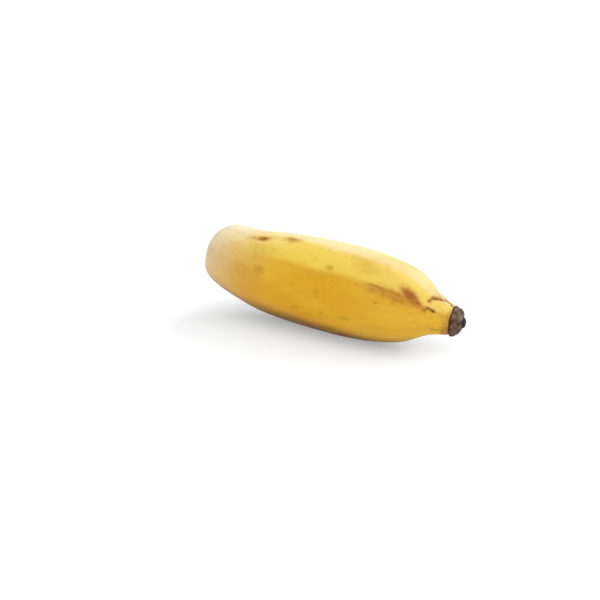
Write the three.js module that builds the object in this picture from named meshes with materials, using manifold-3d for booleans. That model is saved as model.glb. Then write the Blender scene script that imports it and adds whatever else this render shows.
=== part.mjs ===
// Apple banana: a short, plump banana lying on its belly.
//
// Millimetres, +Z up. +X runs from the stem end to the blossom end, and +Y is the side that the stem stub
// turns to. The origin is on the surface that the fruit lies on, under the middle of its bounding box.
//
// The fruit is one solid: a softly ridged section carried along a gently bent centreline, from the stub of
// the stem to the end of the neck. The dried remains of the flower are a second solid, seated on the neck.

import * as THREE from "three";
import { mergeVertices } from "three/addons/utils/BufferGeometryUtils.js";
import Module from "manifold-3d";

// ---- driving dimensions ----

const BODY_LENGTH = 112;   // along the centreline, from the stem shoulder to the end of the neck
const BELLY_RADIUS = 18.1; // mean radius of the section at its thickest
const NECK_RADIUS = 5.7;   // at the end of the neck, where the dried flower sits
const STUB_RADIUS = 4.9;   // of the stem stub, halfway along
const STUB_LENGTH = 5.6;   // the stub, from the shoulder to its torn end
const FLOWER_LENGTH = 6.2; // the dried flower, from the neck to the tip of its style
const SEAT_GAP = 0.3;      // between the end of the neck and the dried flower
const REST_DEPTH = 0.5;    // how much of the belly's roundness is pressed flat where it lies

// How the centreline turns, in degrees
const LEAN = 1.5;          // the whole fruit dips towards its blossom end
const ARCH = 0.5;          // the belly's own slight arch
const SIDE_ARCH = 4;       // the same, seen from above
const STEM_RISE = 15;      // the stem end bends up
const NECK_DROOP = 12;     // the neck bends down
const NECK_SIDE = 13.5;    // the neck bends to +Y
const END_LIFT = 8;        // the very end of the neck comes up again
const END_SIDE = 12.5;     // and turns further to +Y
const STUB_DROP = 6;       // the stub points down
const STUB_SIDE = 14;      // and turns to +Y
const TWIST = -4;          // the ridges turn this much over the length

// Where those bends lie, as shares of the body's length
const STEM_BEND = [0, 0.34];
const NECK_DROOP_BEND = [0.7, 1];
const NECK_SIDE_BEND = [0.72, 1];
const END_BEND = [0.9, 1.03];
const STUB_BEND = [-7, 4]; // in mm

// The stub stands off the middle of the shoulder, and the shoulder falls away more on that side
const STUB_OFFSET_DOWN = 1.5;
const STUB_OFFSET_SIDE = 3.5;
const STUB_OFFSET_BEND = [-9, 6]; // in mm
const SLOPE_TURN = 105;           // degrees round the section, from the top towards +Y
const SLOPE_DEPTH = 0.2;          // share of the radius
const SLOPE_START = [-6, 2];      // in mm
const SLOPE_END = [0, 30];        // in mm

// The outline of the body: share of its length, share of the belly's radius
const BODY_OUTLINE = [
  [0.012, 0.535], [0.045, 0.715], [0.1, 0.79],                            // stem shoulder
  [0.17, 0.85], [0.27, 0.935], [0.4, 0.985], [0.52, 0.995], [0.64, 0.97], // belly
  [0.74, 0.91], [0.81, 0.828], [0.86, 0.732], [0.9, 0.594],               // blossom shoulder
  [0.95, 0.4],                                                            // neck
];

// The ridges, in degrees round the section, from the top towards +Y
const RIDGES = [-112, -58, -21, 48, 117, 186];
const RIDGE_SHARPNESS = 8; // a higher power mean brings the section nearer to a true polygon
const FACETING = 0.5;      // 0 is a round section, 1 is the whole polygon

// The dried flower: distance from its seat, radius, with shallow creases between its lobes
const FLOWER_OUTLINE = [[0.5, 5.85], [1.9, 5.65], [3.1, 4.8], [4.1, 3.8], [4.6, 2.7], [5.3, 1.95], [5.8, 1.3]];
const FLOWER_LOBES = 5;
const CREASE_TURN = -78;   // degrees, the crease that shows in the middle of the visible face
const CREASE_DEPTH = 0.14; // share of the radius
const CREASE_WIDTH = 11;   // degrees

const SIDES = 48;
const PEEL_RINGS = 54;
const FLOWER_RINGS = 14;

const FULL_TURN = 2 * Math.PI;
const rad = THREE.MathUtils.degToRad;
const eased = THREE.MathUtils.smoothstep; // (value, from, to), 0 to 1 with level ends

// ---- centreline ----
// It is walked in small steps, turning by the eased headings below, and kept as a table of frames.

const WALK_STEP = 0.25;
const WALK_START = -STUB_LENGTH - 4;
const WALK_END = BODY_LENGTH + FLOWER_LENGTH + 2;

function heading(distance) {
  const share = distance / BODY_LENGTH;
  const arch = 0.5 - THREE.MathUtils.clamp(share, 0, 1);
  const stem = 1 - eased(share, ...STEM_BEND);
  const stub = 1 - eased(distance, ...STUB_BEND);
  const end = eased(share, ...END_BEND);
  const neckClimb = END_LIFT * end - NECK_DROOP * eased(share, ...NECK_DROOP_BEND);
  const neckTurn = END_SIDE * end + NECK_SIDE * eased(share, ...NECK_SIDE_BEND);
  const bodyClimb = ARCH * arch - LEAN - STEM_RISE * stem + neckClimb;
  const bodyTurn = SIDE_ARCH * arch + neckTurn;
  return {
    climb: rad(THREE.MathUtils.lerp(bodyClimb, STUB_DROP, stub)),
    turn: rad(bodyTurn - STUB_SIDE * stub),
  };
}

function walkCentreline() {
  const frames = [];
  const place = new THREE.Vector3();
  for (let distance = WALK_START; distance <= WALK_END; distance += WALK_STEP) {
    const { climb, turn } = heading(distance);
    const along = new THREE.Vector3(
      Math.cos(climb) * Math.cos(turn), Math.cos(climb) * Math.sin(turn), Math.sin(climb));
    const across = new THREE.Vector3(-Math.sin(turn), Math.cos(turn), 0);
    const up = new THREE.Vector3().crossVectors(along, across);
    const offset = 1 - eased(distance, ...STUB_OFFSET_BEND);
    const centre = place.clone()
      .addScaledVector(up, -STUB_OFFSET_DOWN * offset)
      .addScaledVector(across, STUB_OFFSET_SIDE * offset);
    frames.push({ centre, across, up });
    place.addScaledVector(along, WALK_STEP);
  }
  return frames;
}

const centreline = walkCentreline();

// The point at a distance along the centreline, and at a radius and an angle round it
function pointAt(distance, radius, angle) {
  const step = (distance - WALK_START) / WALK_STEP;
  const low = Math.floor(step);
  const mix = step - low;
  const [a, b] = [centreline[low], centreline[low + 1]];
  const up = a.up.clone().lerp(b.up, mix);
  const across = a.across.clone().lerp(b.across, mix);
  return a.centre.clone().lerp(b.centre, mix)
    .addScaledVector(up, radius * Math.cos(angle))
    .addScaledVector(across, radius * Math.sin(angle));
}

// ---- section ----
// A polygon with its corners on the ridges. Each side is a flat at its own distance, and a power mean of the
// flats rounds the corners. It is divided by its own mean, so that the outline's radii stay true.

const flats = RIDGES.map((ridge, i) => {
  const next = RIDGES[i + 1] ?? RIDGES[0] + 360;
  return { facing: rad((ridge + next) / 2), distance: Math.cos(rad((next - ridge) / 2)) };
});

function polygonRadius(angle) {
  const sum = flats.reduce((total, { facing, distance }) => {
    const reach = Math.max(0, Math.cos(angle - facing) / distance);
    return total + reach ** RIDGE_SHARPNESS;
  }, 0);
  return sum ** (-1 / RIDGE_SHARPNESS);
}

function meanPolygonRadius(samples = 360) {
  let total = 0;
  for (let i = 0; i < samples; i += 1) total += polygonRadius((i * FULL_TURN) / samples);
  return total / samples;
}

const MEAN_POLYGON = meanPolygonRadius();

// How far the skin stands out from a round section: the facets fade out on the stub and half out on the neck
function ridgeFactor(distance, angle) {
  const share = distance / BODY_LENGTH;
  const faceting = FACETING * eased(distance, -4, 10) * (1 - 0.5 * eased(share, 0.9, 1));
  const turned = angle - rad(TWIST) * (share - 0.5);
  return 1 + faceting * (polygonRadius(turned) / MEAN_POLYGON - 1);
}

// How far the shoulder falls away on the stub's side
function slopeFactor(distance, angle) {
  const near = eased(distance, ...SLOPE_START) * (1 - eased(distance, ...SLOPE_END));
  return 1 - SLOPE_DEPTH * near * Math.max(0, Math.cos(angle - rad(SLOPE_TURN))) ** 2;
}

const peelFactor = (distance, angle) => ridgeFactor(distance, angle) * slopeFactor(distance, angle);

// ---- skins ----

const sideAngles = Array.from({ length: SIDES }, (_, i) => (i * FULL_TURN) / SIDES);

// Rings along a smooth curve through [distance, radius] points
function ringsAlong(outline, count, factor) {
  const curve = new THREE.SplineCurve(outline.map(([x, y]) => new THREE.Vector2(x, y)));
  return curve.getPoints(count - 1).map(({ x, y }) =>
    sideAngles.map((angle) => pointAt(x, y * factor(x, angle), angle)));
}

// A closed skin over rings of equally many points, with one point closing each end
function closedSkin(firstPoint, rings, lastPoint) {
  const points = [firstPoint, ...rings.flat(), lastPoint];
  const last = points.length - 1;
  const at = (ring, side) => 1 + ring * SIDES + (side % SIDES);
  const faces = [];
  for (let side = 0; side < SIDES; side += 1) {
    faces.push(0, at(0, side), at(0, side + 1));
    for (let ring = 0; ring + 1 < rings.length; ring += 1) {
      faces.push(at(ring, side), at(ring + 1, side), at(ring + 1, side + 1));
      faces.push(at(ring, side), at(ring + 1, side + 1), at(ring, side + 1));
    }
    faces.push(last, at(rings.length - 1, side + 1), at(rings.length - 1, side));
  }
  const geometry = new THREE.BufferGeometry().setFromPoints(points);
  geometry.setIndex(faces);
  return geometry;
}

// ---- the two pieces ----

function peelSkin() {
  const stub = [
    [-STUB_LENGTH, STUB_RADIUS * 0.08],
    [-STUB_LENGTH + 0.2, STUB_RADIUS * 0.53],
    [-STUB_LENGTH + 1, STUB_RADIUS * 0.84],
    [-STUB_LENGTH * 0.54, STUB_RADIUS],
    [-1.3, STUB_RADIUS * 1.18],
  ];
  const body = BODY_OUTLINE.map(([along, out]) => [along * BODY_LENGTH, out * BELLY_RADIUS]);
  const outline = [...stub, ...body, [BODY_LENGTH, NECK_RADIUS]];
  const rings = ringsAlong(outline, PEEL_RINGS, peelFactor);
  return closedSkin(pointAt(-STUB_LENGTH, 0, 0), rings, pointAt(BODY_LENGTH, 0, 0));
}

// Creases run from the seat to the style, and end where the style's stub begins
function lobeFactor(distance, angle) {
  const pitch = 360 / FLOWER_LOBES;
  const turned = THREE.MathUtils.euclideanModulo(THREE.MathUtils.radToDeg(angle) - CREASE_TURN, pitch);
  const fromCrease = Math.min(turned, pitch - turned) / CREASE_WIDTH;
  const onLobes = 1 - eased(distance - BODY_LENGTH, 3.8, 4.7);
  return 1 - CREASE_DEPTH * onLobes * Math.exp(-fromCrease * fromCrease);
}

function flowerSkin() {
  const seat = BODY_LENGTH + SEAT_GAP;
  const outline = FLOWER_OUTLINE.map(([along, out]) => [BODY_LENGTH + along, out]);
  const foot = [[seat, NECK_RADIUS * 0.55], [seat, NECK_RADIUS * 0.94]];
  const footRings = foot.map(([x, y]) => sideAngles.map((angle) => pointAt(x, y * lobeFactor(x, angle), angle)));
  const rings = [...footRings, ...ringsAlong(outline, FLOWER_RINGS, lobeFactor)];
  return closedSkin(pointAt(seat, 0, 0), rings, pointAt(BODY_LENGTH + FLOWER_LENGTH, 0, 0));
}

// ---- the flat that it lies on ----

const wasm = await Module();
wasm.setup();

function toSolid(geometry) {
  const bare = geometry.clone();
  bare.deleteAttribute("normal");
  bare.deleteAttribute("uv");
  const merged = mergeVertices(bare);
  return new wasm.Manifold(new wasm.Mesh({
    numProp: 3,
    vertProperties: new Float32Array(merged.attributes.position.array),
    triVerts: new Uint32Array(merged.index.array),
  }));
}

function toGeometry(solid) {
  const mesh = solid.getMesh();
  const geometry = new THREE.BufferGeometry();
  geometry.setAttribute("position", new THREE.BufferAttribute(new Float32Array(mesh.vertProperties), 3));
  geometry.setIndex(new THREE.BufferAttribute(new Uint32Array(mesh.triVerts), 1));
  return geometry;
}

// Everything below z = 0 comes off, so the belly ends in a real flat
function cutAtSurface(geometry) {
  const depth = 20;
  const below = new THREE.BoxGeometry(3 * BODY_LENGTH, 6 * BELLY_RADIUS, depth);
  below.translate(0, 0, -depth / 2);
  return toGeometry(toSolid(geometry).subtract(toSolid(below)));
}

// ---- assembly ----

const peel = peelSkin();
const flower = flowerSkin();

peel.computeBoundingBox();
const lower = -peel.boundingBox.min.z - REST_DEPTH;
const bounds = peel.boundingBox.clone();
flower.computeBoundingBox();
bounds.union(flower.boundingBox);
const middle = bounds.getCenter(new THREE.Vector3());
for (const skin of [peel, flower]) skin.translate(-middle.x, -middle.y, lower);

function piece(name, geometry, color, roughness) {
  geometry.computeVertexNormals();
  const mesh = new THREE.Mesh(geometry, new THREE.MeshStandardMaterial({ color, roughness, metalness: 0 }));
  mesh.name = name;
  return mesh;
}

const banana = new THREE.Group();
banana.add(piece("fruit", cutAtSurface(peel), 0xe9bf45, 0.5));
banana.add(piece("flower_remnant", flower, 0x4a3836, 0.9));

export default banana;
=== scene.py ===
import math

import bpy
import numpy as np
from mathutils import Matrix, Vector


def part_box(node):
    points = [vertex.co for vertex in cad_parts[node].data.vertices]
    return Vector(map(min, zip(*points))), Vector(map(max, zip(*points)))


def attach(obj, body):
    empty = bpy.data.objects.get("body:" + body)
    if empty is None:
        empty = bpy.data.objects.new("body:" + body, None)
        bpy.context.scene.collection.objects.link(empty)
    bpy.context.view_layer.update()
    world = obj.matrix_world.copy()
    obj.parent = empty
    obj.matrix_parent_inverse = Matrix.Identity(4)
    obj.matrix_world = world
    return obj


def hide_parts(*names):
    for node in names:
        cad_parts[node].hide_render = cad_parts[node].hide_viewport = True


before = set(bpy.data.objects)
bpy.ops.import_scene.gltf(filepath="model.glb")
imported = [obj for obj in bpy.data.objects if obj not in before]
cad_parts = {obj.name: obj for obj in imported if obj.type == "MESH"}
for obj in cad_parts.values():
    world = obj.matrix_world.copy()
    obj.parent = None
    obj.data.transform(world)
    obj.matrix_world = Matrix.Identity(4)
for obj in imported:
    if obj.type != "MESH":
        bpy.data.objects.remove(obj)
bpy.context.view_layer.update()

# An apple banana lying on a pale table.
#
# The peel and the dried flower are skins worked out over two parameters: the distance along the fruit's
# centreline, from the stem shoulder to the blossom end, and the angle round it, from the top towards +Y.
# Lengths are in millimetres until a mesh is made, and in metres from there on. Angles are in degrees in the
# dimensions and the rows, and in radians in the functions.

# ---- the fruit's own dimensions ----

BODY_LENGTH = 112.0
BELLY_RADIUS = 18.1
FLOWER_LENGTH = 6.2

# The centreline's heading, in degrees: how far it runs down as a whole, how far it bows seen from the side
# and from above, and how far its ends turn off
LEAN = 1.5
ARCH = 0.5
SIDE_ARCH = 4.0
STEM_RISE = 15.0
NECK_DROOP = 12.0
NECK_SIDE = 13.5
END_LIFT = 8.0
END_SIDE = 12.5
STUB_DROP = 6.0
STUB_SIDE = 14.0

# The stub's end of the centreline stands this far off the middle of the shoulder, to the back and down
STUB_ACROSS = 3.5
STUB_DOWN = 1.5

# The steps in which the centreline is summed
STEP = 0.25

# The middle of the back, in degrees round, and how much the stem shoulder falls away there
BACK = 105.0
SHOULDER_SLOPE = 0.2

# How far round the section its ridges lie, how much each one shows, how sharp the polygon is that they make,
# how much of it there is, and how far it twists from end to end
RIDGES = np.array([-112.0, -58.0, -21.0, 48.0, 117.0, 186.0])
RIDGE_SHOWS = np.array([0.7, 1.0, 0.15, 0.8, 1.0, 0.7])
RIDGE_SHARPNESS = 14.0
FACETING = 0.5
TWIST = -4.0

# Outline of the peel, as rows of distance and radius: torn stub, stem shoulder, belly, blossom shoulder, neck
PEEL_OUTLINE = [
    (-5.6, 0.3), (-5.5, 2.4), (-4.9, 4.0), (-3.2, 4.8), (-1.3, 5.8),
    (1.3, 9.7), (5.0, 12.9), (11.2, 14.3),
    (19.0, 15.4), (30.2, 16.9), (44.8, 17.8), (58.2, 18.0), (71.7, 17.6), (82.9, 16.5),
    (90.7, 15.0), (96.3, 13.2), (100.8, 10.7),
    (106.4, 7.2), (112.0, 5.7),
]
PEEL_RINGS, PEEL_SIDES = 330, 288

# Outline of the dried flower, from its seat over the lobes, down into the moat and up the stub of the style
FLOWER_OUTLINE = [
    (0.3, 3.0), (0.3, 5.0), (0.45, 5.75), (1.0, 5.95), (2.0, 5.65), (3.1, 4.85), (4.1, 3.9),
    (4.6, 3.1), (4.5, 2.45), (4.7, 2.1), (5.2, 1.85), (5.65, 1.25), (5.85, 0.2),
]
FLOWER_RINGS, FLOWER_SIDES = 90, 168
FLOWER_LOBES = 5
CREASE_TURN = -78.0

# Heights and depths of the relief, with the width of the ridges' crests and the place of the swelling
CREST_HEIGHT = 0.1
CREST_WIDTH = 1.6
LONG_WAVE, SHORT_WAVE = 0.1, 0.05
NECK_GATHER, FINE_GATHER = 0.1, 0.05
STUB_RING, STUB_RIB = 0.13, 0.1
FOLD_DEPTH = 0.45
SWELLING_HEIGHT, SWELLING_AT, SWELLING_WIDTH = 1.15, 107.4, 2.6
BRUISE_DEPTH = 0.12
LOBE_CREASE_DEPTH = 0.11
STYLE_LEAN = 0.45


def eased(value, start, end):
    """0 before start, 1 after end, and between them 3t^2 - 2t^3 of the share t that is passed."""
    t = np.clip((value - start) / (end - start), 0.0, 1.0)
    return t * t * (3.0 - 2.0 * t)


def bell(value, width):
    """A bell curve: e to the minus (value / width) squared."""
    return np.exp(-np.square(value / width))


def wrapped(angle):
    """The same angle, in radians, between minus pi and pi."""
    return np.mod(angle + np.pi, 2.0 * np.pi) - np.pi


def along_outline(points, count):
    """A Catmull-Rom curve through the points, taken again at equal steps of its own arc length."""
    points = np.asarray(points)
    last = len(points) - 1
    at = np.linspace(0.0, last, 60 * last + 1)
    i = np.minimum(at.astype(int), last - 1)
    t = (at - i)[:, None]
    p0, p1, p2, p3 = (points[np.clip(i + k, 0, last)] for k in (-1, 0, 1, 2))
    slope1, slope2 = (p2 - p0) / 2.0, (p3 - p1) / 2.0
    fine = ((2 * p1 - 2 * p2 + slope1 + slope2) * t**3
            + (3 * p2 - 3 * p1 - 2 * slope1 - slope2) * t**2 + slope1 * t + p1)
    arc = np.append(0.0, np.cumsum(np.hypot(*np.diff(fine, axis=0).T)))
    even = np.linspace(0.0, arc[-1], count)
    return np.interp(even, arc, fine[:, 0]), np.interp(even, arc, fine[:, 1])


# ---- centreline ----

def centreline(distance):
    """Centres and frames at the given distances. The heading is a sum of eased bends, the centre is its
    running sum in short steps, and the stub's end of it stands off the middle of the shoulder."""
    s = np.arange(-10.0, BODY_LENGTH + 10.0, STEP)
    share = s / BODY_LENGTH
    arch = 0.5 - np.clip(share, 0.0, 1.0)
    stub = 1.0 - eased(s, -7.0, 4.0)
    end = eased(share, 0.9, 1.03)
    climb = (ARCH * arch - LEAN - STEM_RISE * (1.0 - eased(share, 0.0, 0.34))
             - NECK_DROOP * eased(share, 0.7, 1.0) + END_LIFT * end)
    climb = np.radians(climb * (1.0 - stub) + STUB_DROP * stub)
    turn = SIDE_ARCH * arch + NECK_SIDE * eased(share, 0.72, 1.0) + END_SIDE * end - STUB_SIDE * stub
    turn = np.radians(turn)
    ahead = np.stack([np.cos(climb) * np.cos(turn), np.cos(climb) * np.sin(turn), np.sin(climb)], -1)
    across = np.stack([-np.sin(turn), np.cos(turn), np.zeros_like(s)], -1)
    up = np.cross(ahead, across)
    centre = np.vstack([np.zeros(3), np.cumsum(ahead[:-1] * STEP, axis=0)])
    aside = (1.0 - eased(s, -9.0, 6.0))[:, None]
    centre += aside * (STUB_ACROSS * across - STUB_DOWN * up)
    return [np.stack([np.interp(distance, s, v[:, k]) for k in range(3)], -1) for v in (centre, across, up)]


# ---- section ----

def polygon_radius(angle):
    """A rounded polygon with its corners on the ridges: a power mean of the flats between them."""
    corners = np.radians(np.append(RIDGES, RIDGES[0] + 360.0))
    facing = (corners[1:] + corners[:-1]) / 2.0
    reach = np.cos((corners[1:] - corners[:-1]) / 2.0)
    flats = np.maximum(0.0, np.cos(angle[..., None] - facing) / reach)
    return np.sum(flats**RIDGE_SHARPNESS, axis=-1) ** (-1.0 / RIDGE_SHARPNESS)


MEAN_POLYGON = polygon_radius(np.linspace(0.0, 2.0 * np.pi, 361)[:-1]).mean()


def turned(distance, angle):
    """The angle round the fruit, less the slow twist of its ridges."""
    return angle - np.radians(TWIST) * (distance / BODY_LENGTH - 0.5)


def peel_section(distance, angle):
    """How far the skin stands out from a round section: facets that fade on the stub and the neck, times
    the slope by which the stem shoulder falls away towards the back."""
    share = distance / BODY_LENGTH
    facets = FACETING * eased(distance, -4.0, 10.0) * (1.0 - 0.5 * eased(share, 0.9, 1.0))
    ridged = 1.0 + facets * (polygon_radius(turned(distance, angle)) / MEAN_POLYGON - 1.0)
    near = eased(distance, -6.0, 2.0) * (1.0 - eased(distance, 0.0, 30.0))
    slope = 1.0 - SHOULDER_SLOPE * near * np.maximum(0.0, np.cos(angle - np.radians(BACK))) ** 2
    return ridged * slope


def carried(distance, radius, angle):
    """Points at a radius and an angle round the centreline: centre + up r cos + across r sin."""
    centre, across, up = centreline(distance)
    return centre + up * (radius * np.cos(angle))[..., None] + across * (radius * np.sin(angle))[..., None]


# ---- marks on the peel ----
# Each row is one mark: distance along, degrees round, half its length, half its width, its tilt, strength

LARGE_BRUISE = [
    (98.9, -49.6, 5.1, 2.8, 27.0, 1.0),
    (101.6, -55.0, 3.8, 1.7, 22.0, 0.75),
]
BRUISES = LARGE_BRUISE + [
    (31.2, -28.8, 4.9, 1.9, -5.0, 1.0),
    (26.8, -30.2, 6.2, 1.3, -2.0, 0.45),
    (44.6, -21.8, 5.0, 1.4, 4.0, 0.4),
    (95.2, -56.5, 6.4, 1.8, 3.0, 0.55),
    (96.0, -62.0, 7.5, 3.4, 3.0, 0.3),
    (102.8, -58.5, 4.4, 1.1, 6.0, 0.4),
    (105.0, 6.0, 3.0, 3.4, 0.0, 0.15),
    (55.5, -107.0, 3.5, 0.6, -12.0, 0.4),
]
SCARS = [
    (106.5, -60.0, 1.3, 0.8, 20.0, 1.0),
    (104.9, -57.5, 0.9, 0.8, 0.0, 0.85),
    (104.2, -64.5, 0.9, 0.7, -30.0, 0.6),
    (105.6, -59.5, 1.9, 0.5, 15.0, 0.6),
    (108.6, -122.0, 2.6, 1.0, 14.0, 0.3),
    (88.8, -55.6, 4.0, 0.6, 2.0, 0.5),
]
SMUDGES = [
    (45.2, -21.8, 4.7, 2.1, 4.0, 0.75),
    (33.0, -45.0, 5.6, 1.7, 4.0, 0.15),
    (68.8, -49.5, 1.9, 1.5, 0.0, 0.7),
    (35.6, -72.0, 3.0, 2.0, 0.0, 0.75),
    (65.2, -81.5, 1.7, 1.3, 40.0, 0.4),
    (66.0, -87.0, 1.0, 0.8, 0.0, 0.7),
    (67.6, -106.5, 1.5, 0.9, 0.0, 0.6),
    (90.0, -76.5, 1.1, 0.8, 0.0, 0.85),
    (95.1, -72.0, 1.0, 0.8, 0.0, 0.5),
    (78.0, -107.5, 4.0, 1.2, -4.0, 0.6),
]

# Folds across the neck, each a path of distances and degrees round, with half its width and its strength
FOLDS = [
    ([(104.4, -38.0), (105.0, -25.0)], 0.8, 0.7),
    ([(105.0, -25.0), (106.0, -17.0), (107.4, -13.0)], 1.1, 1.0),
    ([(107.4, -13.0), (109.0, -4.0), (110.4, 2.0), (111.3, -6.0), (111.9, -18.0)], 0.45, 0.85),
]


def mark_field(rows, distance, angle, radius):
    """Over each mark, its strength times 1 - (its own elliptic distance), and the highest of them."""
    field = np.full(distance.shape, -1.0)
    for at, turn, length, width, tilt, strength in rows:
        x, y = distance - at, -wrapped(angle - np.radians(turn)) * radius
        t = np.radians(tilt)
        x, y = x * np.cos(t) + y * np.sin(t), y * np.cos(t) - x * np.sin(t)
        field = np.maximum(field, strength * (1.0 - np.hypot(x / length, y / width)))
    return field


def fold_field(distance, angle, radius):
    """Over each fold, its strength times 1 - (how far away it is, over half its width), and the highest of
    them. How far away is the shortest way to the fold's straight stretches, on the unrolled peel."""
    field = np.full(distance.shape, -1.0)
    for path, width, strength in FOLDS:
        for (along_a, turn_a), (along_b, turn_b) in zip(path[:-1], path[1:]):
            x, y = distance - along_a, (wrapped(angle) - np.radians(turn_a)) * radius
            run, rise = along_b - along_a, np.radians(turn_b - turn_a) * radius
            t = np.clip((x * run + y * rise) / (run**2 + rise**2), 0.0, 1.0)
            field = np.maximum(field, strength * (1.0 - np.hypot(x - t * run, y - t * rise) / width))
    return field


def ridge_closeness(distance, angle, radius, width):
    """A bell over each ridge, as wide as asked for in millimetres; the ridges wander by a degree or so."""
    wander = np.radians(0.9 * np.sin(distance / 9.0) + 0.6 * np.sin(distance / 3.7 + 1.0))
    total = np.zeros(distance.shape)
    for ridge, shows in zip(RIDGES, RIDGE_SHOWS):
        by = wrapped(turned(distance, angle) - np.radians(ridge) - wander)
        total = np.maximum(total, shows * bell(by * radius, width))
    return total


# How light the peel is from the underside, round past the front to the crown and down the back: it steps
# at the ridges and drifts slowly between them, as rows of degrees round and tone
# painted light: the darkest tones, underneath, are painted shade from the table; the palest, on the crown,
# are partly a painted highlight
FACE_TONES = np.array([
    (-180.0, 0.0), (-145.0, 0.0), (-132.0, 0.08), (-118.0, 0.22), (-106.0, 0.3), (-58.0, 0.4), (-50.0, 0.62),
    (-25.0, 0.74), (-18.5, 0.96), (8.0, 1.0), (40.0, 0.86), (56.0, 0.62), (84.0, 0.44), (110.0, 0.3),
    (124.0, 0.16), (150.0, 0.04), (180.0, 0.0),
])


def peel_tone(distance, angle):
    """The tone at an angle, read off the rows, with the borders wandering by a degree or two. The deep gold
    of the underside is painted shade from the table, so towards the neck, which is clear of the table, it
    draws back round the underside, and towards the stem the steps are blurred: a mean of the tones here and
    15 degrees to either side."""
    wander = 1.3 * np.sin(distance / 8.0) + 0.8 * np.sin(distance / 3.3 + 1.0)
    round_by = np.degrees(wrapped(turned(distance, angle))) + wander
    # the painted shade underneath draws back round the neck, which is clear of the table
    round_by += 22.0 * eased(distance, 62.0, 92.0) * eased(-round_by, 85.0, 115.0)
    crisp, low, high = (np.interp(round_by + by, FACE_TONES[:, 0], FACE_TONES[:, 1], period=360.0)
                        for by in (0.0, -15.0, 15.0))
    return crisp + (low + high - 2.0 * crisp) / 3.0 * (1.0 - eased(distance, 24.0, 62.0))


def back_share(angle):
    """How far round to the back a point is: the eased cosine of its angle from the middle of the back."""
    return eased(np.cos(angle - np.radians(BACK)), -0.05, 0.85)


def painted_shade_share(distance, angle):
    """Where the colour is darkened by painted shade: on the back, which the light from behind would wash out,
    and in a patch on the lower front near the stem, a bell along times a bell round."""
    patch = 0.28 * bell(distance - 29.0, 10.0) * bell(np.degrees(angle) - 280.0, 24.0)
    return back_share(angle) + patch


def bloom_and_painted_shade_share(distance, angle):
    """How whole the waxy bloom is: 1 at the stem, less two eased steps as it thins out along the fruit, which
    come 14 mm later on the crown; and thinner on the back, as painted shade that keeps the back from looking
    washed out in the light from behind."""
    from_stem = distance - 14.0 * peel_tone(distance, angle)
    thinned = 0.75 * eased(from_stem, -15.0, 20.0) + 0.25 * eased(from_stem, 0.0, 45.0)
    return (1.0 - thinned) * (1.0 - 0.6 * back_share(angle))


def scuff_share(distance, angle, radius):
    """How scuffed the handled ridge is: a bell just below the lower front ridge, before the neck."""
    by = wrapped(turned(distance, angle) - np.radians(RIDGES[1])) * radius
    return bell(by + 0.6, 1.3) * eased(distance, 80.0, 88.0) * (1.0 - eased(distance, 101.0, 106.0))


def seat_share(distance, angle):
    """How brown the neck is where the flower sits: eased in over its last 3 mm, and more underneath."""
    shifted = distance + 1.2 * np.cos(angle + np.radians(125.0))
    return eased(shifted, 109.0, 112.4) * (0.65 - 0.35 * np.cos(angle))


# ---- relief ----

def peel_relief(distance, angle, radius):
    """Height of the peel's own relief, as a sum: bells for crests on the ridges, crossed sines for long
    shallow waves, sines round the neck and the stub for what gathers there, the folds across the neck sunk
    in, the low swelling that they cross (a bell along, times a cosine cubed round), and the dent of the
    large bruise."""
    share = distance / BODY_LENGTH
    on_body = eased(distance, 2.0, 16.0) * (1.0 - eased(share, 0.93, 1.0))
    crests = CREST_HEIGHT * ridge_closeness(distance, angle, radius, CREST_WIDTH)
    waves = (LONG_WAVE * np.sin(distance / 7.3 + 2.0 * np.sin(angle + 0.6))
             * np.sin(3.0 * angle + distance / 19.0)
             + SHORT_WAVE * np.sin(distance / 3.1 + 4.0 * np.cos(angle)) * np.sin(5.0 * angle - 1.0))
    gathers = (NECK_GATHER * np.sin(9.0 * angle + 0.8 * np.sin(distance / 4.0))
               + FINE_GATHER * np.sin(17.0 * angle + 1.3 + distance / 9.0)) * eased(share, 0.84, 0.97)
    on_stub = (1.0 - eased(distance, -3.5, 2.5)) * eased(distance, -5.5, -4.6)
    rings = (STUB_RING * np.sin(distance * 2.3 + 1.4 * np.sin(3.0 * angle))
             + STUB_RIB * np.sin(11.0 * angle + distance)) * on_stub
    sunk = FOLD_DEPTH * eased(fold_field(distance, angle, radius), -0.6, 0.9)
    swelling = (SWELLING_HEIGHT * bell(distance - SWELLING_AT, SWELLING_WIDTH)
                * np.maximum(0.0, np.cos(angle - 0.25)) ** 3)
    dent = BRUISE_DEPTH * np.maximum(0.0, mark_field(LARGE_BRUISE, distance, angle, radius))
    return (crests + waves) * on_body + gathers + rings - sunk + swelling - dent


def torn_shift(distance, angle, radius):
    """How far the torn end of the stub is pushed in: a bell that hollows its middle, crossed sines for fibres
    that broke at different lengths, and sines of the angle for its ragged edge."""
    face = 1.0 - eased(distance, -5.0, -3.6)
    x, y = radius * np.cos(angle), radius * np.sin(angle)
    fibres = np.sin(2.9 * x + 1.7 * np.sin(1.3 * y)) * np.sin(3.1 * y + 1.1 * np.sin(1.9 * x))
    edge = 0.5 * np.sin(angle - 0.6) + 0.3 * np.sin(3.0 * angle + 1.0) + 0.22 * np.sin(8.0 * angle)
    return face * (0.65 + 0.9 * bell(radius, 2.6) + 0.3 * fibres + edge * eased(radius, 1.2, 4.2))


def rim_shift(angle):
    """How far the neck's rim runs on along the fruit: sines of the angle, which make a little lip over the
    top of the flower and an uneven edge."""
    return (0.22 + 0.12 * np.cos(angle - np.radians(25.0)) + 0.16 * np.sin(3.0 * angle + 2.4)
            + 0.1 * np.sin(7.0 * angle + 0.5))


def lobe_crease(angle, width):
    """A bell over each crease between two lobes, its width in degrees."""
    lobe = 2.0 * np.pi / FLOWER_LOBES
    by = np.mod(angle - np.radians(CREASE_TURN) + lobe / 2.0, lobe) - lobe / 2.0
    return bell(by, np.radians(width))


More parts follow.
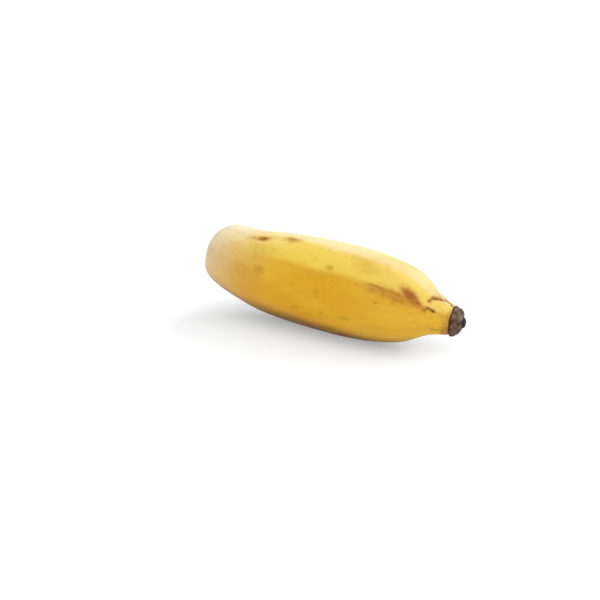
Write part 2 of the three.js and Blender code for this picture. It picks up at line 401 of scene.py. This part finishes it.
def flower_relief(distance, angle, radius):
    """Height of the flower's own relief, as a sum: it leans out underneath and draws in under the lip on top
    (eased steps times cosines), creases lie between its lobes, the stub of the style stands a little off the
    middle, and sines make the finer wrinkles of a dried calyx."""
    out_below = 0.35 * bell(distance - 2.4, 1.7) * np.maximum(0.0, -np.cos(angle - np.radians(25.0)))
    in_on_top = 0.75 * (1.0 - eased(distance, 1.4, 4.6)) * np.maximum(0.0, np.cos(angle - np.radians(10.0)))
    lean = (out_below - in_on_top) * eased(radius, 2.6, 5.0)
    on_lobes = 1.0 - eased(distance, 3.8, 4.6)
    on_top = np.maximum(0.0, np.cos(angle + 0.1)) ** 4
    creases = LOBE_CREASE_DEPTH * radius * lobe_crease(angle, 10.0) * on_lobes * (1.0 - 0.8 * on_top)
    on_style = (1.0 - eased(radius, 2.2, 3.0)) * eased(radius, 0.2, 0.9)
    style = STYLE_LEAN * np.cos(angle - np.radians(215.0)) * on_style
    wrinkles = (0.10 * np.sin(13.0 * angle + 2.2 * distance)
                + 0.07 * np.sin(23.0 * angle - 1.7 * distance + 1.0)
                + 0.08 * np.sin(3.7 * distance + 2.0 * np.sin(4.0 * angle))) * eased(radius, 1.2, 4.0)
    return lean - creases + style + wrinkles


# ---- meshes ----

def closed_skin(name, points, attributes):
    """A mesh over rings of points, closed round each ring, with one point closing each end.
    The faces are quads between neighbouring rings and a fan of triangles at each end, facing outwards."""
    rings, sides, _ = points.shape
    first, last = points[0].mean(axis=0), points[-1].mean(axis=0)
    places = np.vstack([points.reshape(-1, 3), first, last]) * 0.001
    index = np.arange(rings * sides).reshape(rings, sides)
    beside = np.roll(index, -1, axis=1)
    quads = np.stack([index[:-1], index[1:], beside[1:], beside[:-1]], -1).reshape(-1, 4)
    start, end = rings * sides, rings * sides + 1
    fan_a = np.stack([np.full(sides, start), index[0], beside[0]], -1)
    fan_b = np.stack([np.full(sides, end), beside[-1], index[-1]], -1)
    corners = np.concatenate([quads.ravel(), fan_a.ravel(), fan_b.ravel()]).astype(np.int32)
    sizes = np.concatenate([np.full(len(quads), 4), np.full(2 * sides, 3)])
    starts = np.concatenate([[0], np.cumsum(sizes)[:-1]]).astype(np.int32)
    mesh = bpy.data.meshes.new(name)
    mesh.vertices.add(len(places))
    mesh.vertices.foreach_set("co", places.astype(np.float32).ravel())
    mesh.loops.add(len(corners))
    mesh.loops.foreach_set("vertex_index", corners)
    mesh.polygons.add(len(sizes))
    mesh.polygons.foreach_set("loop_start", starts)
    mesh.update(calc_edges=True)
    mesh.validate()
    mesh.polygons.foreach_set("use_smooth", np.ones(len(mesh.polygons), dtype=bool))
    for key, values in attributes.items():
        ends = [values[ring].reshape(sides, -1).mean(axis=0) for ring in (0, -1)]
        flat = np.vstack([values.reshape(rings * sides, -1), *ends])
        kind, field = ("FLOAT_VECTOR", "vector") if flat.shape[1] == 3 else ("FLOAT", "value")
        layer = mesh.attributes.new(key, kind, "POINT")
        layer.data.foreach_set(field, flat.astype(np.float32).ravel())
    made = bpy.data.objects.new(name, mesh)
    bpy.context.scene.collection.objects.link(made)
    return made


def round_grid(outline, rings, sides):
    """The outline's distances and radii against the angles, as whole grids."""
    distance, radius = along_outline(outline, rings)
    angle = np.linspace(0.0, 2.0 * np.pi, sides, endpoint=False)
    return (np.broadcast_to(distance[:, None], (rings, sides)),
            np.broadcast_to(radius[:, None], (rings, sides)),
            np.broadcast_to(angle[None, :], (rings, sides)))


def straightened(distance, angle):
    """Where a point would be if the fruit were a straight round bar, in metres: the distance, then the
    belly's radius times the angle's cosine and sine. Patterns that follow the peel read this."""
    bar = np.stack([distance, BELLY_RADIUS * np.cos(angle), BELLY_RADIUS * np.sin(angle)], -1)
    return bar * 0.001


distance, radius, angle = round_grid(PEEL_OUTLINE, PEEL_RINGS, PEEL_SIDES)
smooth_radius = radius * peel_section(distance, angle)
smooth_points = carried(distance, smooth_radius, angle)
peel_points = carried(
    distance + rim_shift(angle) * eased(distance, 109.5, 112.0) + torn_shift(distance, angle, radius),
    smooth_radius + peel_relief(distance, angle, radius), angle)

# The frame's own boxes say where the skins lie: under the middle of the whole, pressed 0.5 mm flat
fruit_low, fruit_high = (np.array(corner) * 1000.0 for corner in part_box("fruit"))
smooth_middle = (smooth_points.min(axis=(0, 1)) + smooth_points.max(axis=(0, 1))) / 2.0
shift = (fruit_low + fruit_high) / 2.0 - smooth_middle
shift[2] = fruit_high[2] - peel_points[..., 2].max()


def settled(points):
    """Moved to the frame's place, with what would reach below the table pressed flat on it."""
    moved = points + shift
    moved[..., 2] = np.maximum(moved[..., 2], 0.0)
    return moved


tone = peel_tone(distance, angle)
peel = closed_skin("peel", settled(peel_points), {
    "straight": straightened(distance, angle),
    "along": distance / BODY_LENGTH,
    "tone": tone,
    "crown": eased(tone, 0.78, 0.96) * eased(distance, 74.0, 98.0),
    # the waxy bloom, thinned on the back as painted shade
    "bloom": bloom_and_painted_shade_share(distance, angle),
    # painted shade on the back and in a patch at the lower front
    "back": painted_shade_share(distance, angle),
    "ridge": ridge_closeness(distance, angle, radius, 1.1) * eased(distance, 16.0, 60.0),
    "scuff": scuff_share(distance, angle, radius),
    "bruise": mark_field(BRUISES, distance, angle, radius),
    "scar": mark_field(SCARS, distance, angle, radius),
    "smudge": mark_field(SMUDGES, distance, angle, radius),
    "fold": fold_field(distance, angle, radius),
    "stub": 1.0 - eased(distance, -5.2, -3.4),
    "seat": seat_share(distance, angle),
})

distance, radius, angle = round_grid(FLOWER_OUTLINE, FLOWER_RINGS, FLOWER_SIDES)
flower_points = carried(
    BODY_LENGTH + distance + np.minimum(0.0, rim_shift(angle)) * (1.0 - eased(distance, 1.0, 4.0)),
    radius + flower_relief(distance, angle, radius), angle)
from_rim = distance - np.maximum(0.0, rim_shift(angle)) + 0.5 * np.cos(angle + np.radians(50.0))
flower = closed_skin("dried_flower", settled(flower_points), {
    "straight": straightened(distance, angle),
    "lift": distance / FLOWER_LENGTH,
    "rim": 1.0 - eased(from_rim, 0.5, 1.7),
    # painted shade in the creases between the lobes and in the hollow round the style
    "crease": (lobe_crease(angle + 0.12 * np.sin(distance * 2.1), 9.0)
               * (1.0 - 0.6 * bell(distance - 2.4, 1.1)) * (1.0 - eased(distance, 4.2, 4.7))),
    "lower": eased(-np.cos(angle - np.radians(10.0)), -0.25, 0.35),
    "hollow": bell(radius - 2.55, 0.8) * eased(distance, 3.6, 4.3),
})

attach(peel, "root")
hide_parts("fruit")
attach(flower, "root")
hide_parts("flower_remnant")


# ---- materials ----

# The peel's colours by tone, from the underside over the low and the high faces to the crown: the peel
# itself, the same under its waxy bloom, and on the neck
# the darkest colours, underneath, are painted shade, lighter on the neck, which is clear of the table; the
# palest are partly a painted highlight
TONE_PLACES = (0.0, 0.22, 0.38, 0.64, 0.76, 0.97)
RIPE_COLOURS = ("754500", "D69B1E", "D8A324", "E8C753", "EBD068", "ECDAA2")
BLOOM_COLOURS = ("BCAA8C", "CEC5AE", "D0CAB8", "DED4C0", "E2DAC8", "E4DECC")
NECK_COLOURS = ("CA9C32", "E3B436", "D9AA38", "E6C764", "E9CB66", "E0C68A")


def colour(code):
    """An sRGB hex colour as linear values with alpha."""
    parts = np.array([int(code[i:i + 2], 16) for i in (0, 2, 4)]) / 255.0
    linear = np.where(parts <= 0.04045, parts / 12.92, ((parts + 0.055) / 1.055) ** 2.4)
    return (*linear.tolist(), 1.0)


def per(size_mm):
    """The scale of a pattern whose features are about this many millimetres across."""
    return 1000.0 / size_mm


def add(tree, kind, inputs=None, stops=None, **settings):
    """Adds a node, sets its own settings, and fills its inputs with values or with links to sockets. An input
    is named, or numbered: 6 and 7 are the two colours of a Mix, 1 and 2 the range that a MapRange takes to
    the range of 3 and 4."""
    made = tree.nodes.new("ShaderNode" + kind)
    for key, value in settings.items():
        setattr(made, key, value)
    if stops:
        elements = made.color_ramp.elements
        while len(elements) < len(stops):
            elements.new(0.5)
        for element, (place, value) in zip(elements, stops):
            element.position, element.color = place, value
    for key, value in (inputs or {}).items():
        if isinstance(value, bpy.types.NodeSocket):
            tree.links.new(value, made.inputs[key])
        else:
            made.inputs[key].default_value = value
    return made


def new_material(name):
    """An empty node material, and its tree."""
    made = bpy.data.materials.new(name)
    made.use_nodes = True
    made.node_tree.nodes.clear()
    return made, made.node_tree


def ripe_peel():
    """Ripe banana peel: a thin waxy skin over soft fibres. To the eye it is a deep golden yellow with a
    satin sheen, paler and duller towards the stem, with fine lengthwise fibres, faint freckles, brown scuffs
    on its ridges, and reddish bruises that have soft edges."""
    made, tree = new_material("ripe_banana_peel")
    read = {key: add(tree, "Attribute", attribute_name=key, attribute_type="GEOMETRY").outputs
            for key in ("straight", "along", "tone", "crown", "bloom", "back", "ridge", "scuff", "bruise",
                        "scar", "smudge", "fold", "stub", "seat")}
    place = add(tree, "TexCoord").outputs["Object"]
    peel_place = read["straight"]["Vector"]
    streak_place, fibre_place = (
        add(tree, "Mapping", {"Vector": peel_place, "Scale": (drawn_out, 1.0, 1.0)}).outputs["Vector"]
        for drawn_out in (0.4, 0.12))

    # patterns: where each one is read, how many millimetres across it is, its detail and its roughness; the
    # real fibres and grain are finer than this, and are drawn as coarse as they need to be to show
    noise = {}
    for key, where, size_mm, detail, roughness in (
            ("drift", streak_place, 9.0, 2.0, 0.5),
            ("mottle", peel_place, 2.6, 4.0, 0.6),
            ("fibre", fibre_place, 0.8, 3.0, 0.55),
            ("grain", peel_place, 0.55, 2.0, 0.6),
            ("spots", place, 1.6, 4.0, 0.65),
            ("shreds", place, 1.3, 3.0, 0.6)):
        noise[key] = add(tree, "TexNoise", {"Vector": where, "Scale": per(size_mm), "Detail": detail,
                                            "Roughness": roughness}).outputs["Fac"]

    # golden below, darkened underneath by painted shade, lemon on the high faces, cream on the crown, which
    # is partly a painted highlight; paler and duller towards the stem, where the waxy bloom is whole, and a
    # shade browner on the neck, where the painted shade underneath is lighter
    ripe, bloomed, on_neck = (
        add(tree, "ValToRGB", {"Fac": read["tone"]["Fac"]},
            stops=[(at, colour(code)) for at, code in zip(TONE_PLACES, codes)]).outputs["Color"]
        for codes in (RIPE_COLOURS, BLOOM_COLOURS, NECK_COLOURS))
    neck = add(tree, "MapRange", {0: read["along"]["Fac"], 1: 0.6, 2: 0.95, 3: 0.0, 4: 1.0},
               interpolation_type="SMOOTHSTEP").outputs[0]
    skin = ripe
    for share, over in ((read["crown"]["Fac"], colour("D2C46A")), (read["bloom"]["Fac"], bloomed),
                        (neck, on_neck)):
        skin = add(tree, "Mix", {0: share, 6: skin, 7: over}, data_type="RGBA").outputs[2]

    # painted shade: darker on the back, which the light from behind would wash out, and in a patch at the
    # front
    skin = add(tree, "Mix", {0: read["back"]["Fac"], 6: skin, 7: colour("D2C4A8")}, data_type="RGBA",
               blend_type="MULTIPLY").outputs[2]

    # slow drifts along the fruit, calmer on the crown; soft mottling and fine fibres; small tan spots on the
    # rougher neck; ridges a shade browner, and scuffed where they were handled. Each row is a pattern, its
    # values where the layer starts and is full, the layer's shares there, what limits it, and its colour
    calm = add(tree, "MapRange", {0: read["tone"]["Fac"], 1: 0.76, 2: 0.97, 3: 1.0, 4: 0.3}).outputs[0]
    rough_neck = add(tree, "MapRange", {0: read["along"]["Fac"], 1: 0.88, 2: 0.96, 3: 0.0, 4: 1.0}).outputs[0]
    for key, start, full, least, most, limit, code in (
            ("drift", 0.5, 0.75, 0.0, 0.35, calm, "D4931C"),
            ("drift", 0.5, 0.25, 0.0, 0.22, 1.0, "EBCC50"),
            ("mottle", 0.52, 0.72, 0.0, 0.2, 1.0, "BC8620"),
            ("fibre", 0.5, 0.75, 0.0, 0.08, 1.0, "F2D468"),
            ("spots", 0.5, 0.68, 0.0, 0.45, rough_neck, "BC7A34"),
            ("drift", 0.35, 0.65, 0.06, 0.3, read["ridge"]["Fac"], "BE8430"),
            ("mottle", 0.4, 0.62, 0.1, 0.6, read["scuff"]["Fac"], "A8703A")):
        share = add(tree, "MapRange", {0: noise[key], 1: start, 2: full, 3: least, 4: most}).outputs[0]
        share = add(tree, "Math", {0: share, 1: limit}, operation="MULTIPLY").outputs[0]
        skin = add(tree, "Mix", {0: share, 6: skin, 7: colour(code)}, data_type="RGBA").outputs[2]

    # how much of each mark shows: its field, frayed by a pattern times a number, and eased in from one value
    # to another, up to its most
    shows = {}
    for key, pattern, by, start, full, most in (
            ("smudge", "mottle", 0.4, -0.25, 0.75, 0.55),
            ("bruise", "spots", 0.6, -0.25, 0.85, 0.88),
            ("fold", "spots", 0.9, -0.25, 0.85, 0.85),
            ("scar", "spots", 0.8, -0.2, 0.8, 0.9),
            ("seat", "spots", 0.8, 0.15, 0.95, 0.85),
            ("stub", "spots", 0.9, 0.2, 0.75, 0.96)):
        centred = add(tree, "Math", {0: noise[pattern], 1: 0.5}, operation="SUBTRACT").outputs[0]
        frayed = add(tree, "Math", {0: centred, 1: by, 2: read[key]["Fac"]},
                     operation="MULTIPLY_ADD").outputs[0]
        shows[key] = add(tree, "MapRange", {0: frayed, 1: start, 2: full, 3: 0.0, 4: most},
                         interpolation_type="SMOOTHSTEP").outputs[0]

    # freckles about half a millimetre across, thin on the ground
    dots = add(tree, "TexVoronoi", {"Vector": peel_place, "Scale": per(3.2), "Randomness": 1.0}, feature="F1")
    near = add(tree, "MapRange", {0: dots.outputs["Distance"], 1: 0.12, 2: 0.05, 3: 0.0, 4: 1.0}).outputs[0]
    chance = add(tree, "SeparateColor", {0: dots.outputs["Color"]}).outputs[0]
    some = add(tree, "MapRange", {0: chance, 1: 0.8, 2: 1.0, 3: 0.0, 4: 0.1}).outputs[0]
    freckles = add(tree, "Math", {0: near, 1: some}, operation="MULTIPLY").outputs[0]

    # the marks, then dry brown where the flower sits and where the stem was torn
    bruise_tint = add(tree, "ValToRGB", {"Fac": shows["bruise"]}, stops=[
        (0.0, colour("C98A2C")), (0.45, colour("B0621C")), (0.8, colour("94461A"))]).outputs["Color"]
    torn_tint = add(tree, "ValToRGB", {"Fac": noise["shreds"]}, stops=[
        (0.36, colour("2A1C14")), (0.5, colour("5E4630")), (0.66, colour("A58A62"))]).outputs["Color"]
    for share, over in (
            (shows["smudge"], colour("A87A10")),
            (shows["bruise"], bruise_tint),
            (shows["fold"], colour("844020")),
            (shows["scar"], colour("6E3C14")),
            (freckles, colour("9A6A2A")),
            (shows["seat"], colour("A06A3C")),
            (shows["stub"], torn_tint)):
        skin = add(tree, "Mix", {0: share, 6: skin, 7: over}, data_type="RGBA").outputs[2]

    # marks and torn tissue are duller than the waxy skin, and a little pitted
    dull = shows["bruise"]
    for key in ("scar", "fold", "stub"):
        dull = add(tree, "Math", {0: dull, 1: shows[key]}, operation="MAXIMUM").outputs[0]
    waxy = add(tree, "MapRange", {0: noise["mottle"], 1: 0.3, 2: 0.75, 3: 0.40, 4: 0.52}).outputs[0]
    rough = add(tree, "Mix", {0: dull, 2: waxy, 3: 0.75}, data_type="FLOAT").outputs[0]
    grained = add(tree, "Math", {0: noise["fibre"], 1: 0.6, 2: noise["grain"]},
                  operation="MULTIPLY_ADD").outputs[0]
    pitted = add(tree, "Math", {0: dull, 1: -0.8, 2: grained}, operation="MULTIPLY_ADD").outputs[0]
    bump = add(tree, "Bump", {"Height": pitted, "Strength": 0.25, "Distance": 0.00012}).outputs["Normal"]

    shader = add(tree, "BsdfPrincipled", {
        "Base Color": skin, "Roughness": rough, "Normal": bump, "IOR": 1.45, "Specular IOR Level": 0.06,
        "Subsurface Weight": 0.06, "Subsurface Radius": (1.0, 0.6, 0.15), "Subsurface Scale": 0.002})
    add(tree, "OutputMaterial", {"Surface": shader.outputs[0]})
    return made


def dried_calyx():
    """The dried remains of the flower: papery brown-black tissue with a purple cast. To the eye it is matte
    and grey on its high folds, with painted shade, nearly black, in its creases and in the hollow round the
    style, and reddish at the rim where it meets the neck."""
    made, tree = new_material("dried_banana_flower")
    read = {key: add(tree, "Attribute", attribute_name=key, attribute_type="GEOMETRY").outputs
            for key in ("straight", "lift", "rim", "crease", "lower", "hollow")}
    place = add(tree, "TexCoord").outputs["Object"]
    fibre_place = add(tree, "Mapping", {"Vector": read["straight"]["Vector"],
                                        "Scale": (0.35, 1.0, 1.0)}).outputs["Vector"]

    # patterns: where each one is read, how many millimetres across it is, and its roughness
    blotch, fibre, speck = (
        add(tree, "TexNoise", {"Vector": where, "Scale": per(size_mm), "Detail": 4.0,
                               "Roughness": roughness}).outputs["Fac"]
        for where, size_mm, roughness in ((place, 2.2, 0.6), (fibre_place, 0.9, 0.6), (place, 1.0, 0.7)))

    # blotched on top, and speckled underneath
    upper = add(tree, "ValToRGB", {"Fac": blotch}, stops=[
        (0.3, colour("412C24")), (0.5, colour("6A5044")), (0.72, colour("937664"))]).outputs["Color"]
    lower = add(tree, "ValToRGB", {"Fac": speck}, stops=[
        (0.36, colour("2E1C11")), (0.52, colour("5E4430")), (0.7, colour("8A6E54"))]).outputs["Color"]

    # over that: dark fibres, painted shade in the creases between the lobes, the frayed rim, the style, and
    # painted shade in the hollow round it
    fibres = add(tree, "MapRange", {0: fibre, 1: 0.52, 2: 0.7, 3: 0.0, 4: 0.5}).outputs[0]
    creases = add(tree, "Math", {0: read["crease"]["Fac"], 1: 0.75}, operation="MULTIPLY").outputs[0]
    centred = add(tree, "Math", {0: blotch, 1: 0.5}, operation="SUBTRACT").outputs[0]
    frayed = add(tree, "Math", {0: centred, 1: 1.2, 2: read["rim"]["Fac"]},
                 operation="MULTIPLY_ADD").outputs[0]
    rim, style = (
        add(tree, "MapRange", {0: value, 1: start, 2: full, 3: 0.0, 4: 0.9},
            interpolation_type="SMOOTHSTEP").outputs[0]
        for value, start, full in ((frayed, 0.2, 0.8), (read["lift"]["Fac"], 0.7, 0.8)))
    tissue = upper
    for share, over in (
            (read["lower"]["Fac"], lower),
            (fibres, colour("30211D")),
            (creases, colour("22130E")),
            (rim, colour("4A2014")),
            (style, colour("25251D")),
            (read["hollow"]["Fac"], colour("120D0A"))):
        tissue = add(tree, "Mix", {0: share, 6: tissue, 7: over}, data_type="RGBA").outputs[2]

    rough = add(tree, "MapRange", {0: blotch, 1: 0.3, 2: 0.7, 3: 0.75, 4: 0.5}).outputs[0]
    bump = add(tree, "Bump", {"Height": fibre, "Strength": 0.5, "Distance": 0.0003}).outputs["Normal"]
    shader = add(tree, "BsdfPrincipled", {
        "Base Color": tissue, "Roughness": rough, "Normal": bump, "IOR": 1.45, "Specular IOR Level": 0.3})
    add(tree, "OutputMaterial", {"Surface": shader.outputs[0]})
    return made


def pale_table():
    """A pale laminate table: a smooth matte white, with a grain too faint to see."""
    made, tree = new_material("pale_laminate")
    place = add(tree, "TexCoord").outputs["Object"]
    cloud = add(tree, "TexNoise", {"Vector": place, "Scale": per(80.0), "Detail": 3.0}).outputs["Fac"]
    tint = add(tree, "ValToRGB", {"Fac": cloud}, stops=[(0.3, colour("FCFCFC")), (0.7, colour("FEFEFE"))])
    shader = add(tree, "BsdfPrincipled", {"Base Color": tint.outputs["Color"], "Roughness": 0.7})
    add(tree, "OutputMaterial", {"Surface": shader.outputs[0]})
    return made


peel.data.materials.append(ripe_peel())
flower.data.materials.append(dried_calyx())

# ---- table, light and camera ----

TABLE_HALF = 8.0
CAMERA_PLACE = (0.2676, -0.3472, 0.1411)
LENS, SENSOR = 70.0, 36.0
VIEW_AZIMUTH = 38.9  # 0 looks along +Y, 90 along -X
VIEW_PITCH = 16.5    # degrees below the horizon
WALL_LIGHT = 0.38    # how brightly the studio's far walls light the fruit
WALL_SEEN = 0.95     # how bright they look past the table's edge, which is as white as the table

# Soft lights, far away: name, azimuth and elevation in degrees, how wide each one looks, and its strength.
# Azimuths are as seen from the camera: 0 is behind it, 90 its right, 180 behind the fruit
LIGHTS = [
    ("low_behind", 140.0, 25.0, 40.0, 1.45),
    ("right", 90.0, 40.0, 90.0, 1.8),
    ("left", -90.0, 40.0, 90.0, 1.05),
    ("front", 0.0, 40.0, 40.0, 0.63),
]

table_mesh = bpy.data.meshes.new("table")
corners = [(x * TABLE_HALF, y * TABLE_HALF, 0.0) for x, y in ((-1, -1), (1, -1), (1, 1), (-1, 1))]
table_mesh.from_pydata(corners, [], [(0, 1, 2, 3)])
table = bpy.data.objects.new("table", table_mesh)
bpy.context.scene.collection.objects.link(table)
table_mesh.materials.append(pale_table())

camera_data = bpy.data.cameras.new("camera")
camera_data.lens = LENS
camera_data.sensor_width = SENSOR
camera_data.clip_end = 50.0
camera = bpy.data.objects.new("camera", camera_data)
bpy.context.scene.collection.objects.link(camera)
camera.location = CAMERA_PLACE
camera.rotation_euler = (math.radians(90.0 - VIEW_PITCH), 0.0, math.radians(VIEW_AZIMUTH))
bpy.context.scene.camera = camera

world = bpy.data.worlds.new("studio")
world.use_nodes = True
walls = world.node_tree.nodes["Background"].inputs
walls["Color"].default_value = (1.0, 1.0, 1.0, 1.0)
path = add(world.node_tree, "LightPath").outputs
brightness = add(world.node_tree, "MapRange", {0: path["Is Camera Ray"], 3: WALL_LIGHT, 4: WALL_SEEN})
world.node_tree.links.new(brightness.outputs[0], walls["Strength"])
bpy.context.scene.world = world

for name, azimuth, elevation, width, strength in LIGHTS:
    light_data = bpy.data.lights.new(name, "SUN")
    light_data.energy, light_data.angle = strength, math.radians(width)
    light_data.cycles.use_multiple_importance_sampling = False
    light = bpy.data.objects.new(name, light_data)
    bpy.context.scene.collection.objects.link(light)
    light.rotation_euler = (math.radians(90.0 - elevation), 0.0, math.radians(azimuth + VIEW_AZIMUTH))
peel.visible_diffuse = False  # keeps the peel's yellow off the table, so its shadow stays a neutral grey

view = bpy.context.scene.view_settings
view.view_transform = "Standard"
view.look = "None"
